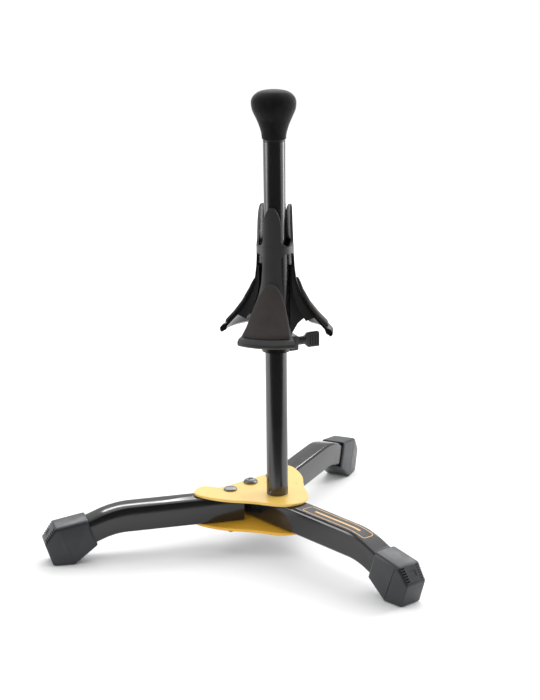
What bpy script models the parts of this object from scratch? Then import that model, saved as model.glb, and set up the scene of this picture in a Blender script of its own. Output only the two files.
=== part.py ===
"""Peg stand with a bell support, for small brass instruments.

A round post rises from two shaped steel plates that clamp three legs. One leg is fixed and two
swivel, so that all three fold side by side. A velvet peg caps the post, and a three-petal bell
support slides on it and is held by a thumb screw. Metres, +Z up, standing on Z = 0, with the
origin under the middle of the whole object's box.
"""

import math

import bmesh
import bpy
from mathutils import Matrix, Vector

MM = 0.001
GAP = 0.3 * MM  # between pieces that touch

# The post's place, from the middle of the object's footprint
POST_X = 44.9 * MM
POST_Y = -28.5 * MM

# Base plates and leg tubes
PLATE_THICK = 2.3 * MM
PLATE_TOP = 47.6 * MM
LEG_WIDTH = 19.5 * MM
LEG_HEIGHT = 22.7 * MM
LEG_SQUEEZE = 0.91  # what the bend leaves of a leg's height
LEG_WALL = 1.5 * MM
LEG_CORNER = 2.6 * MM
LEG_PAST_PIVOT = 9.6 * MM
PLATE_SPACE = LEG_HEIGHT + 2 * GAP
PLATE_LOW = PLATE_TOP - 2 * PLATE_THICK - PLATE_SPACE
LEG_Z = PLATE_TOP - PLATE_THICK - PLATE_SPACE / 2

# Each leg: its pivot from the post's axis, its heading, and the reach from pivot to foot
LEGS = {
    "left": (Vector((-39.3, 11.3)) * MM, math.radians(192.1), 137.5 * MM),
    "front": (Vector((-21.5, 27.7)) * MM, math.radians(-52.9), 179.7 * MM),
    "back": (Vector((-2.2, 42.1)) * MM, math.radians(62.0), 147.2 * MM),
}

# The bend near each foot, and the foot itself, measured from the inner edge of its sole
BEND_BACK = 50.0 * MM
BEND_RADIUS = 70.0 * MM
BEND_ANGLE = math.radians(20.7)
LEG_PAST_SOLE = 2.0 * MM
FOOT_HALF_WIDTH = 11.7 * MM
FOOT_TAPER = 0.085  # how fast a foot's outer half narrows past its crease
FOOT_SLEEVE = [(11.3, 33.4), (-13.2, 37.5), (-21.0, 14.9), (-1.4, 0.0)]
FOOT_BLOCK = [(-1.4, 0.0), (16.8, 0.0), (23.4, 20.2), (14.2, 32.9), (11.3, 33.4)]

# Pivot hardware
SHANK_R = 3.0 * MM
BUSH_R = 4.8 * MM
BORE_R = BUSH_R + GAP
RIVET_HEAD_R = 5.7 * MM
SCREW_HEAD_R = 6.1 * MM
KEEPER_REACH = 42.0 * MM  # from the fixed leg's pivot to its keeper rivet
KEEPER_R = 2.0 * MM

# Post and peg
POST_R = 9.0 * MM
POST_WALL = 1.2 * MM
POST_TOP = 346.5 * MM
SPIGOT_LENGTH = 24.0 * MM
CRIMP_ABOVE_PLATE = 4.5 * MM
PEG_LOW = 348.3 * MM
PEG_TOP = 387.5 * MM
PEG_COVER = 3.0 * MM
PEG_NECK_R = 6.6 * MM

# Bell support: how far it is slid up from the heights below, the heading of its first petal,
# its radii and its heights
SUPPORT_RAISED = 4.4 * MM
PETAL_HEADING = math.radians(-104.3)
PETAL_COUNT = 3
PETAL_HALF_ANGLE = math.radians(30)
SLEEVE_BORE = POST_R + GAP
SLEEVE_R = 11.0 * MM
SUPPORT_LOW = 168.6 * MM
RING_LOW = 252.0 * MM
RING_TOP = 258.0 * MM
RING_R = 15.3 * MM
FINGER_TIP = 290.4 * MM
FINGER_TIP_R = 14.0 * MM
FINGER_WALL = 1.7 * MM
FINGER_HALF_WIDTH = 7.5 * MM
PETAL_WALL = 2.2 * MM
RIB_THICK = 1.8 * MM
PETAL_OUTER = [(15.3, 252.0), (15.9, 240.0), (17.3, 228.4), (20.7, 219.2), (26.8, 208.0)]
PETAL_OUTER += [(34.2, 198.2), (42.3, 189.3)]
LIP = [(45.4, 188.2), (47.3, 185.8), (47.1, 183.2), (45.7, 182.0)]
LIP_START = 43.0 * MM
PAD_THICK = 2.1 * MM
PAD_TOP = 228.4 * MM
PAD_ARCH = (12.7 * MM, 18.4 * MM)  # half width and height of a pad's rounded top

# Thumb screw
SCREW_HEADING = PETAL_HEADING + math.radians(124)
SCREW_Z = 174.2 * MM
STUD_R = 2.5 * MM
GRIP_START = 18.6 * MM
GRIP_END = 38.4 * MM

TAU = 2 * math.pi


# ---------------------------------------------------------------- scene and materials

def clear_scene():
    for obj in list(bpy.data.objects):
        bpy.data.objects.remove(obj, do_unlink=True)


def make_collection(name):
    group = bpy.data.collections.new(name)
    bpy.context.scene.collection.children.link(group)
    return group


def make_material(name, colour, roughness, metallic=0.0):
    mat = bpy.data.materials.new(name)
    mat.use_nodes = True
    shader = mat.node_tree.nodes["Principled BSDF"]
    shader.inputs["Base Color"].default_value = (*colour, 1.0)
    shader.inputs["Roughness"].default_value = roughness
    shader.inputs["Metallic"].default_value = metallic
    mat.diffuse_color = (*colour, 1.0)
    return mat


clear_scene()
STAND = make_collection("peg_stand")
CUTTERS = make_collection("cutters")

GREY_COAT = make_material("grey_powder_coat", (0.11, 0.11, 0.115), 0.45, 0.6)
YELLOW_COAT = make_material("yellow_powder_coat", (0.85, 0.60, 0.16), 0.35)
POST_COAT = make_material("satin_post_coat", (0.10, 0.10, 0.105), 0.3, 0.7)
RUBBER = make_material("foot_rubber", (0.045, 0.05, 0.055), 0.75)
PLASTIC = make_material("moulded_plastic", (0.055, 0.055, 0.06), 0.3)
FOAM = make_material("foam_pad", (0.05, 0.045, 0.04), 0.95)
VELVET = make_material("peg_velvet", (0.02, 0.02, 0.022), 1.0)
ZINC = make_material("zinc_steel", (0.55, 0.56, 0.58), 0.35, 1.0)
NYLON = make_material("nylon", (0.75, 0.75, 0.72), 0.5)


# ---------------------------------------------------------------- modelling helpers

def adopt(obj, name, parent, material=None):
    """Name the object, put it in the stand's collection, under its parent, and give it its material."""
    for group in list(obj.users_collection):
        group.objects.unlink(obj)
    STAND.objects.link(obj)
    obj.name = name
    obj.parent = parent
    if material:
        obj.data.materials.clear()
        obj.data.materials.append(material)
    return obj


def as_cutter(obj, parent=None):
    """Move a helper shape to the cutters, out of the render."""
    for group in list(obj.users_collection):
        group.objects.unlink(obj)
    CUTTERS.objects.link(obj)
    obj.hide_render = True
    obj.display_type = "WIRE"
    obj.parent = parent
    return obj


def combine(obj, other, operation):
    """Add a Boolean with a helper shape: DIFFERENCE, UNION or INTERSECT."""
    modifier = obj.modifiers.new(operation.lower(), "BOOLEAN")
    modifier.object = other
    modifier.operation = operation
    modifier.solver = "EXACT"


def make_empty(name, place, heading=0.0, parent=None):
    """An empty to hang pieces from, turned about Z."""
    empty = bpy.data.objects.new(name, None)
    empty.location = place
    empty.rotation_euler = (0.0, 0.0, heading)
    empty.parent = parent
    STAND.objects.link(empty)
    return empty


def mesh_object(name, bm):
    mesh = bpy.data.meshes.new(name)
    bmesh.ops.recalc_face_normals(bm, faces=bm.faces)
    bm.to_mesh(mesh)
    bm.free()
    obj = bpy.data.objects.new(name, mesh)
    bpy.context.scene.collection.objects.link(obj)
    return obj


def cylinder(radius, low, high, x=0.0, y=0.0, sides=32, top_radius=None):
    """An upright cylinder or cone between two heights."""
    bm = bmesh.new()
    upper = radius if top_radius is None else top_radius
    middle = Matrix.Translation((x, y, (low + high) / 2))
    bmesh.ops.create_cone(bm, cap_ends=True, segments=sides, radius1=radius, radius2=upper,
                          depth=high - low, matrix=middle)
    return mesh_object("cylinder", bm)


def box(size, centre):
    """A block with its sides along X, Y and Z."""
    bm = bmesh.new()
    shape = Matrix.Translation(centre) @ Matrix.Diagonal((*size, 1.0))
    bmesh.ops.create_cube(bm, size=1.0, matrix=shape)
    return mesh_object("box", bm)


def lie_along_x(obj):
    """Turn a shape made upright so that its +Z end points along +X, baked into its mesh."""
    obj.data.transform(Matrix.Rotation(math.radians(90), 4, "Y"))
    return obj


def revolved(name, line, steps):
    """A line of (radius, height) points turned about Z."""
    bm = bmesh.new()
    points = [bm.verts.new((radius, 0.0, height)) for radius, height in line]
    ring = points[1:] + points[:1] if line[0][0] > 0.0 else points[1:]
    for first, second in zip(points, ring):
        bm.edges.new((first, second))
    mesh = bpy.data.meshes.new(name)
    bm.to_mesh(mesh)
    bm.free()
    obj = bpy.data.objects.new(name, mesh)
    bpy.context.scene.collection.objects.link(obj)
    screw = obj.modifiers.new("turn", "SCREW")
    screw.steps = steps
    screw.render_steps = steps
    screw.use_merge_vertices = True
    screw.merge_threshold = 0.00001
    return obj


def turned(name, profile, steps=48):
    """A solid of revolution: a closed outline of (radius, height) points, clockwise from its top."""
    return revolved(name, profile, steps)


def turned_solid(name, outer, steps=24):
    """A solid of revolution from its outer side, top to bottom, closed along the axis."""
    return revolved(name, [(0.0, outer[0][1]), *outer, (0.0, outer[-1][1])], steps)


def slab(name, outline, low, high):
    """A flat plate from a closed outline in XY, between two heights."""
    bm = bmesh.new()
    verts = [bm.verts.new((x, y, low)) for x, y in outline]
    face = bm.faces.new(verts)
    grown = bmesh.ops.extrude_face_region(bm, geom=[face])
    raised = [item for item in grown["geom"] if isinstance(item, bmesh.types.BMVert)]
    bmesh.ops.translate(bm, verts=raised, vec=(0.0, 0.0, high - low))
    return mesh_object(name, bm)


def upright_slab(name, outline, thickness, middle=0.0):
    """A plate in the XZ plane from a closed outline of (x, z) points, centred on Y = middle."""
    obj = slab(name, outline, -thickness / 2, thickness / 2)
    turn = Matrix.Rotation(math.radians(90), 4, "X")
    obj.data.transform(Matrix.Translation((0.0, middle, 0.0)) @ turn)
    return obj


def soften(obj, width, segments=2, angle=40):
    """Round an object's sharp edges."""
    bevel = obj.modifiers.new("round", "BEVEL")
    bevel.width = width
    bevel.segments = segments
    bevel.limit_method = "ANGLE"
    bevel.angle_limit = math.radians(angle)
    bevel.use_clamp_overlap = True


def shade(obj, angle=35):
    obj.data.shade_smooth()
    obj.data.set_sharp_from_angle(angle=math.radians(angle))


def smooth_loop(points, per_span=4):
    """A closed Catmull-Rom curve through the points."""
    count = len(points)
    curve = []
    for i in range(count):
        a, b, c, d = (Vector(points[(i + k - 1) % count]) for k in range(4))
        for j in range(per_span):
            t = j / per_span
            curve.append(0.5 * (2 * b + (c - a) * t + (2 * a - 5 * b + 4 * c - d) * t * t
                                + (3 * b - a - 3 * c + d) * t ** 3))
    return curve


def offset_profile(points, distance):
    """The same open (radius, height) line moved to its left by a distance."""
    moved = []
    for i, point in enumerate(points):
        before = Vector(points[max(i - 1, 0)])
        after = Vector(points[min(i + 1, len(points) - 1)])
        along = (after - before).normalized()
        moved.append((point[0] - along.y * distance, point[1] + along.x * distance))
    return moved


# ---------------------------------------------------------------- base plates

def plate_outline():
    """Both plates' outline: mirrored about the fixed leg's line, along X from the fixed leg's pivot."""
    half = [(65.0, 0.0), (64.0, 5.5), (60.5, 12.8), (55.0, 17.8), (48.0, 22.0), (39.0, 27.2),
            (30.0, 33.9), (21.0, 41.2), (11.5, 46.8), (1.5, 50.8), (-6.5, 52.9), (-13.2, 51.2),
            (-18.2, 45.4), (-20.3, 39.3), (-18.4, 34.2), (-13.6, 30.8), (-8.8, 28.2), (-7.4, 22.0),
            (-7.2, 10.0)]
    mirrored = [(x, -y) for x, y in reversed(half[1:])]
    return [point * MM for point in smooth_loop(half + mirrored, per_span=2)]


def keeper_place():
    """The keeper rivet's axis, from the post's."""
    place, heading, _ = LEGS["front"]
    along = Vector((math.cos(heading), math.sin(heading)))
    return (*(place + KEEPER_REACH * along), 0.0)


def make_plates(front_pivot):
    """Two steel plates of one outline, with the pivot holes and, above, the post's screw hole."""
    for name, low in (("top_plate", PLATE_TOP - PLATE_THICK), ("bottom_plate", PLATE_LOW)):
        plate = slab(name, plate_outline(), low, low + PLATE_THICK)
        adopt(plate, name, front_pivot, YELLOW_COAT)
        soften(plate, 0.5 * MM, segments=1)
        for place, _, _ in LEGS.values():
            hole = cylinder(SHANK_R + GAP, low - MM, low + PLATE_THICK + MM, sides=20)
            hole.location = (*place, 0.0)
            combine(plate, as_cutter(hole, POST), "DIFFERENCE")
        if name == "top_plate":
            hole = cylinder(5.1 * MM, low - 0.01 * MM, low + PLATE_THICK + 0.01 * MM, sides=24,
                            top_radius=2.8 * MM)
        else:
            hole = cylinder(KEEPER_R + GAP, low - MM, low + PLATE_THICK + MM, sides=24)
            hole.location = keeper_place()
        combine(plate, as_cutter(hole, POST), "DIFFERENCE")
        shade(plate)


# ---------------------------------------------------------------- legs and feet

def leg_path(reach):
    """Stations along a leg's middle: distance, height, slope, and the share left of its section's height."""
    bend = reach - BEND_BACK
    stations = [(-LEG_PAST_PIVOT, LEG_Z, 0.0, 1.0), (bend - 20 * MM, LEG_Z, 0.0, 1.0)]
    turns = 8
    for i in range(turns + 1):
        slope = BEND_ANGLE * i / turns
        x = bend + BEND_RADIUS * math.sin(slope)
        z = LEG_Z - BEND_RADIUS * (1 - math.cos(slope))
        stations.append((x, z, slope, 1 - (1 - LEG_SQUEEZE) * i / turns))
    stations.append(further(stations[-1], reach + LEG_PAST_SOLE))
    return stations


def further(station, x):
    """A station in line with another, at a distance x from the pivot."""
    start, z, slope, share = station
    return (x, z - (x - start) * math.tan(slope), slope, share)


def rounded_section(width, height, corner, arc=3):
    """A rounded rectangle's points, across and up."""
    points = []
    for quarter in range(4):
        sx = 1 if quarter in (0, 3) else -1
        sz = 1 if quarter < 2 else -1
        for i in range(arc + 1):
            turn = (quarter + i / arc) * math.pi / 2
            points.append((sx * (width / 2 - corner) + corner * math.cos(turn),
                           sz * (height / 2 - corner) + corner * math.sin(turn)))
    return points


def swept(name, stations, section, closed):
    """A section swept along stations in the XZ plane, with end faces when closed."""
    bm = bmesh.new()
    rings = []
    for x, z, slope, share in stations:
        lift = Vector((math.sin(slope), 0.0, math.cos(slope))) * share
        ring = [bm.verts.new(Vector((x, 0.0, z)) + Vector((0.0, across, 0.0)) + lift * up)
                for across, up in section]
        rings.append(ring)
    for first, second in zip(rings, rings[1:]):
        for i in range(len(section)):
            j = (i + 1) % len(section)
            bm.faces.new((first[i], first[j], second[j], second[i]))
    if closed:
        bm.faces.new(rings[0])
        bm.faces.new(rings[-1])
    return mesh_object(name, bm)


def make_leg(name, reach, pivot):
    """A rounded rectangular tube, bent down towards its foot, bored for its pivot bush."""
    section = rounded_section(LEG_WIDTH, LEG_HEIGHT, LEG_CORNER)
    leg = swept(f"leg_{name}", leg_path(reach), section, closed=False)
    wall = leg.modifiers.new("wall", "SOLIDIFY")
    wall.thickness = LEG_WALL
    wall.offset = -1.0
    adopt(leg, f"leg_{name}", pivot, GREY_COAT)
    bore = cylinder(BORE_R, LEG_Z - 2 * LEG_HEIGHT, LEG_Z + 2 * LEG_HEIGHT, sides=32)
    combine(leg, as_cutter(bore, pivot), "DIFFERENCE")
    if name == "front":
        hole = cylinder(KEEPER_R + GAP, LEG_Z - LEG_HEIGHT, LEG_Z, x=KEEPER_REACH, sides=24)
        combine(leg, as_cutter(hole, pivot), "DIFFERENCE")
    shade(leg)
    return leg


def foot_shape(name, reach):
    """The foot before it is bored: a straight sleeve and a block that narrows past their crease."""
    crease = Vector(FOOT_BLOCK[0]), Vector(FOOT_BLOCK[-1])
    across = (crease[1] - crease[0]).normalized()
    rim = FOOT_SLEEVE[1:] + FOOT_BLOCK[1:]
    bm = bmesh.new()
    sides = []
    for side in (1, -1):
        corners = {}
        for x, z in rim:
            past = (x - crease[0].x) * across.y - (z - crease[0].y) * across.x
            half = FOOT_HALF_WIDTH - FOOT_TAPER * max(0.0, past) * MM
            corners[x, z] = bm.verts.new((x * MM + reach, side * half, z * MM))
        for face in (FOOT_SLEEVE, FOOT_BLOCK):
            bm.faces.new([corners[point] for point in face])
        sides.append([corners[point] for point in rim])
    near, far = sides
    for i in range(len(rim)):
        j = (i + 1) % len(rim)
        bm.faces.new((near[i], near[j], far[j], far[i]))
    return mesh_object(f"foot_{name}", bm)


def make_foot(name, reach, pivot):
    """A rubber boot with a flat sole, slipped over the leg's end."""
    foot = adopt(foot_shape(name, reach), f"foot_{name}", pivot, RUBBER)
    soften(foot, 2.0 * MM, segments=2, angle=30)
    height = LEG_HEIGHT + 2 * GAP / LEG_SQUEEZE
    section = rounded_section(LEG_WIDTH + 2 * GAP, height, LEG_CORNER + GAP)
    end = leg_path(reach)[-1]
    path = [further(end, reach - 40 * MM), further(end, end[0] + GAP)]
    pocket = swept("pocket", path, section, closed=True)
    combine(foot, as_cutter(pocket, pivot), "DIFFERENCE")
    shade(foot)
    return foot


# ---------------------------------------------------------------- pivot hardware

def make_rivet(name, pivot):
    """A flat-head rivet through both plates, its long lower end closed as a dome."""
    low, high = PLATE_LOW - GAP, PLATE_TOP + GAP
    outer = [(RIVET_HEAD_R - 1.6 * MM, high + 1.5 * MM), (RIVET_HEAD_R - 0.5 * MM, high + 1.2 * MM),
             (RIVET_HEAD_R, high + 0.6 * MM), (RIVET_HEAD_R, high), (SHANK_R, high),
             (SHANK_R, low), (4.3 * MM, low), (4.3 * MM, low - 7.0 * MM),
             (3.5 * MM, low - 8.8 * MM), (1.8 * MM, low - 9.8 * MM)]
    rivet = turned_solid(name, outer)
    adopt(rivet, name, pivot, ZINC)
    shade(rivet)


def make_front_screw(pivot):
    """The pan-head cross-recess screw that holds the fixed leg, with its washer and nut."""
    high = PLATE_TOP + GAP
    low = PLATE_LOW - 6.8 * MM
    outer = [(1.5 * MM, high + 3.3 * MM), (3.6 * MM, high + 2.9 * MM), (5.2 * MM, high + 2.0 * MM),
             (SCREW_HEAD_R, high + 0.8 * MM), (SCREW_HEAD_R, high), (SHANK_R, high),
             (SHANK_R, low + 0.6 * MM), (SHANK_R - 0.6 * MM, low)]
    screw = turned_solid("front_screw", outer)
    adopt(screw, "front_screw", pivot, ZINC)
    for turn in (0, 90):
        slot = box((5.4 * MM, 1.0 * MM, 3.0 * MM), (0.0, 0.0, high + 3.3 * MM))
        slot.rotation_euler = (0.0, 0.0, math.radians(turn + 20))
        combine(screw, as_cutter(slot, pivot), "DIFFERENCE")
    shade(screw)
    washer_top = PLATE_LOW - GAP
    ring = [(6.2, 0.0), (6.2, -1.0), (3.4, -1.0), (3.4, 0.0)]
    washer = turned("front_washer", [(r * MM, washer_top + z * MM) for r, z in ring])
    adopt(washer, "front_washer", pivot, ZINC)
    shade(washer)
    nut_top = washer_top - 1.0 * MM - GAP
    nut = cylinder(5.6 * MM, nut_top - 4.4 * MM, nut_top, sides=6)
    adopt(nut, "front_nut", pivot, ZINC)
    soften(nut, 0.5 * MM, segments=1)
    bore = cylinder(SHANK_R + GAP, nut_top - 6 * MM, nut_top + MM, sides=24)
    combine(nut, as_cutter(bore, pivot), "DIFFERENCE")
    shade(nut)


def make_bush(name, pivot):
    """The spacer bush that a leg turns on, between the two plates."""
    low = PLATE_LOW + PLATE_THICK + GAP
    high = PLATE_TOP - PLATE_THICK - GAP
    bore = SHANK_R + GAP
    bush = turned(name, [(BUSH_R, high), (BUSH_R, low), (bore, low), (bore, high)], steps=32)
    adopt(bush, name, pivot, NYLON)
    shade(bush)


def make_keeper(pivot):
    """The blind rivet that keeps the fixed leg from turning, set up through the bottom plate."""
    low = PLATE_LOW - GAP
    wall_top = PLATE_LOW + PLATE_THICK + GAP + LEG_WALL + GAP
    outer = [(KEEPER_R, wall_top + 1.6 * MM), (2.9 * MM, wall_top + 1.0 * MM), (2.9 * MM, wall_top),
             (KEEPER_R, wall_top), (KEEPER_R, low), (4.0 * MM, low), (3.6 * MM, low - 1.0 * MM),
             (2.0 * MM, low - 1.3 * MM)]
    keeper = turned_solid("leg_keeper_rivet", outer, steps=24)
    adopt(keeper, "leg_keeper_rivet", pivot, ZINC)
    keeper.location = (KEEPER_REACH, 0.0, 0.0)
    shade(keeper)


# ---------------------------------------------------------------- post and peg

def make_post():
    """The post tube, crimped in three places onto a spigot that is screwed to the top plate."""
    low = PLATE_TOP + GAP
    inner = POST_R - POST_WALL
    tube = turned("post_tube", [(POST_R, POST_TOP), (POST_R, low), (inner, low), (inner, POST_TOP)])
    adopt(tube, "post_tube", POST, POST_COAT)
    for i in range(3):
        turn = math.radians(-135 + 120 * i)
        dent = bmesh.new()
        place = Vector((math.cos(turn), math.sin(turn), 0.0)) * (POST_R + 0.9 * MM)
        place.z = low + CRIMP_ABOVE_PLATE
        shape = Matrix.Translation(place) @ Matrix.Diagonal((1.6 * MM, 1.6 * MM, 2.4 * MM, 1.0))
        bmesh.ops.create_uvsphere(dent, u_segments=12, v_segments=8, radius=1.0, matrix=shape)
        combine(tube, as_cutter(mesh_object("crimp", dent), POST), "DIFFERENCE")
    shade(tube)

    spigot_r = inner - GAP
    top = low + SPIGOT_LENGTH
    bore = 2.5 * MM + GAP
    outline = [(bore, top), (spigot_r - MM, top), (spigot_r, top - MM), (spigot_r, low), (bore, low)]
    spigot = turned("post_spigot", outline, steps=32)
    adopt(spigot, "post_spigot", POST, ZINC)
    shade(spigot)

    head = PLATE_TOP - PLATE_THICK
    reach = low + 14 * MM
    outer = [(2.1 * MM, reach), (2.5 * MM, reach - 0.5 * MM), (2.5 * MM, head + 2.1 * MM),
             (4.6 * MM, head + 0.15 * MM), (4.6 * MM, head)]
    screw = turned_solid("post_screw", outer, steps=24)
    adopt(screw, "post_screw", POST, ZINC)
    shade(screw)


def peg_profile(inset):
    """The peg's outer side, top to bottom, drawn in from its surface."""
    points = [(6.5, 39.0), (11.5, 37.8), (15.6, 35.2), (17.8, 31.9), (18.3, 28.7), (17.3, 22.8),
              (13.6, 14.5), (10.8, 6.5), (9.7, 0.0)]
    line = [(r * MM, PEG_LOW + up * MM) for r, up in points]
    return offset_profile(line, -inset) if inset else line


def make_peg():
    """The peg's plastic core, with a stem and a seat on the post, and the velvet cover over it."""
    stem_r = POST_R - POST_WALL - GAP
    core_line = peg_profile(PEG_COVER + GAP)[:-1]
    seat = PEG_LOW - GAP
    outer = [*core_line, (PEG_NECK_R, core_line[-1][1] - 1.5 * MM), (PEG_NECK_R, seat), (POST_R, seat),
             (POST_R, POST_TOP + GAP), (stem_r, POST_TOP + GAP), (stem_r, POST_TOP - 24 * MM),
             (stem_r - MM, POST_TOP - 25 * MM)]
    core = turned_solid("peg_core", outer)
    adopt(core, "peg_core", POST, PLASTIC)
    shade(core)

    inside = [(0.0, core_line[0][1] + GAP), *[(r + GAP, z + GAP) for r, z in core_line]]
    cover = [(0.0, PEG_TOP), *peg_profile(0), (PEG_NECK_R + GAP, PEG_LOW), *reversed(inside)]
    shell = revolved("peg_cover", cover, steps=32)
    adopt(shell, "peg_cover", POST, VELVET)
    shade(shell)


# ---------------------------------------------------------------- bell support

def petal_line():
    return [(r * MM, z * MM) for r, z in PETAL_OUTER]


def petal_inner():
    return offset_profile(petal_line(), -PETAL_WALL)


def petal_shell():
    """The ring and the flared petals, as one turned shell before its windows are cut."""
    inner = petal_inner()
    ring_in = RING_R - PETAL_WALL
    outer = [(RING_R, RING_TOP), *petal_line(), *[(r * MM, z * MM) for r, z in LIP]]
    back = [(inner[-1][0] + 1.2 * MM, inner[-1][1] - 3.4 * MM), *reversed(inner[1:])]
    return turned("bell_support", [*outer, *back, (ring_in, RING_LOW), (ring_in, RING_TOP)], steps=60)


def window_cutter(heading):
    """A wedge that opens the shell between two petals, with a rounded top."""
    near, far = 10.6 * MM, 62 * MM
    spread = math.tan(math.radians(60) - PETAL_HALF_ANGLE)
    low = 160 * MM
    flare = 5.0 * MM  # rounds the lips' corners
    outline = [(near, near * spread), (near, -near * spread), (LIP_START, -LIP_START * spread),
               (LIP_START + flare, -LIP_START * spread - 2 * flare), (far, -far), (far, far),
               (LIP_START + flare, LIP_START * spread + 2 * flare), (LIP_START, LIP_START * spread)]
    wedge = slab("window", outline, low, RING_LOW)
    bm = bmesh.new()
    bm.from_mesh(wedge.data)
    top_sides = [edge for edge in bm.edges
                 if all(vert.co.z > RING_LOW - MM and vert.co.x < LIP_START + MM for vert in edge.verts)
                 and abs(edge.verts[0].co.x - edge.verts[1].co.x) > 10 * MM]
    bmesh.ops.bevel(bm, geom=top_sides, offset=4.6 * MM, segments=4, profile=0.5, affect="EDGES")
    bm.to_mesh(wedge.data)
    bm.free()
    wedge.rotation_euler = (0.0, 0.0, heading)
    return as_cutter(wedge, SUPPORT)


def finger_shell():
    """The crown before it is cut to three fingers, leaning in towards its top."""
    low = RING_LOW + 1.0 * MM
    wall = FINGER_WALL
    outline = [(FINGER_TIP_R, FINGER_TIP + MM), (RING_R - 0.2 * MM, RING_TOP), (RING_R - 0.2 * MM, low),
               (RING_R - 0.2 * MM - wall, low), (RING_R - 0.2 * MM - wall, RING_TOP),
               (FINGER_TIP_R - wall, FINGER_TIP + MM)]
    return turned("crown", outline, steps=60)


def finger_outline():
    """One finger seen from outside: a round-ended arch with fillets where it meets the ring."""
    fillet = 5.0 * MM
    foot = RING_TOP + 0.2 * MM
    arch = 20 * MM
    half = [(FINGER_HALF_WIDTH + fillet, RING_LOW)]
    for i in range(5):
        turn = math.pi / 2 * i / 4
        half.append((FINGER_HALF_WIDTH + fillet - fillet * math.sin(turn),
                     foot + fillet - fillet * math.cos(turn)))
    for i in range(9):
        turn = math.pi / 2 * i / 8
        half.append((FINGER_HALF_WIDTH * math.cos(turn), FINGER_TIP - arch + arch * math.sin(turn)))
    return half + [(-x, z) for x, z in reversed(half[:-1])]


def make_crown():
    """Three fingers cut from the crown shell."""
    crown = finger_shell()
    prisms = None
    for i in range(PETAL_COUNT):
        prism = upright_slab("finger", finger_outline(), 20 * MM, middle=0.0)
        prism.data.transform(Matrix.Translation((0.0, -18 * MM, 0.0)))
        turn = PETAL_HEADING + math.radians(90) + TAU * i / PETAL_COUNT
        prism.data.transform(Matrix.Rotation(turn, 4, "Z"))
        if prisms is None:
            prisms = prism
        else:
            combine(prisms, as_cutter(prism, SUPPORT), "UNION")
    combine(crown, as_cutter(prisms, SUPPORT), "INTERSECT")
    return crown


def rib_outline():
    """The web between the sleeve and a petal: its outer edge inside the petal's wall."""
    line = [point for point in petal_line() if 193 * MM < point[1] < 245 * MM]
    outer = [(r - 0.8 * MM, z - 0.4 * MM) for r, z in line]
    start = SLEEVE_R - 0.8 * MM
    sweep = [(32.5, 196.2), (25.0, 194.2), (19.0, 190.0), (14.0, 182.0), (start / MM, 176.0)]
    return [(start, 240 * MM), *outer, *[(r * MM, z * MM) for r, z in sweep]]


def flange_outline():
    """The stiffening flange along a petal's side, deepest at its middle."""
    outer = [(r - 0.8 * MM, z - 0.4 * MM) for r, z in petal_line()[1:-1]]
    depths = [1.4, 3.0, 5.2, 7.4, 8.4]
    inner = [(r - depth * MM, z - depth * 0.45 * MM) for (r, z), depth in zip(outer, depths)]
    return [*outer, *reversed(inner)]


def boss_shapes():
    """The block on the sleeve that holds the thumb screw's nut, with the shapes cut from it."""
    block = box((10.0 * MM, 12.4 * MM, 12.6 * MM), (13.2 * MM, 0.0, SCREW_Z - 0.4 * MM))
    soften(block, 1.5 * MM, segments=2)
    bore = lie_along_x(cylinder(STUD_R + GAP, 7 * MM, 24 * MM, sides=24))
    bore.data.transform(Matrix.Translation((0.0, 0.0, SCREW_Z)))
    shoe_bore = lie_along_x(cylinder(3.2 * MM + GAP, 6 * MM, 11.4 * MM, sides=24))
    shoe_bore.data.transform(Matrix.Translation((0.0, 0.0, SCREW_Z)))
    slot = box((3.6 * MM + GAP, 8.6 * MM, 16 * MM), (13.9 * MM, 0.0, SCREW_Z - 3.6 * MM))
    return block, (bore, shoe_bore, slot)


def make_support():
    """The one-piece bell support: fingers, ring, petals, ribs, sleeve and the thumb screw's boss."""
    body = adopt(petal_shell(), "bell_support", SUPPORT, PLASTIC)
    headings = [PETAL_HEADING + TAU * i / PETAL_COUNT for i in range(PETAL_COUNT)]
    for heading in headings:
        combine(body, window_cutter(heading + TAU / 6), "DIFFERENCE")
    combine(body, as_cutter(make_crown(), SUPPORT), "UNION")

    sleeve = turned_solid("sleeve", [(SLEEVE_R, 252 * MM), (SLEEVE_R, 190 * MM),
                                     (SLEEVE_R + 0.8 * MM, 178 * MM), (SLEEVE_R + 0.8 * MM, SUPPORT_LOW)],
                          steps=48)
    combine(body, as_cutter(sleeve, SUPPORT), "UNION")
    floor = turned_solid("ring_floor", [(RING_R - 1.2 * MM, 255.4 * MM), (RING_R - 1.2 * MM, 252.6 * MM),
                                        (SLEEVE_R - MM, 250.6 * MM)], steps=48)
    combine(body, as_cutter(floor, SUPPORT), "UNION")

    for heading in headings:
        rib = as_cutter(upright_slab("rib", rib_outline(), RIB_THICK), SUPPORT)
        rib.rotation_euler = (0.0, 0.0, heading)
        combine(body, rib, "UNION")
        for side in (-1, 1):
            flange = as_cutter(upright_slab("flange", flange_outline(), RIB_THICK), SUPPORT)
            flange.rotation_euler = (0.0, 0.0, heading + side * (PETAL_HALF_ANGLE - math.radians(3.4)))
            combine(body, flange, "UNION")

    block, cuts = boss_shapes()
    block = as_cutter(block, SUPPORT)
    block.rotation_euler = (0.0, 0.0, SCREW_HEADING)
    combine(body, block, "UNION")
    for cut in cuts:
        cut.rotation_euler = (0.0, 0.0, SCREW_HEADING)
        combine(body, as_cutter(cut, SUPPORT), "DIFFERENCE")
    bore = cylinder(SLEEVE_BORE, 160 * MM, 300 * MM, sides=48)
    combine(body, as_cutter(bore, SUPPORT), "DIFFERENCE")
    shade(body)


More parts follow.
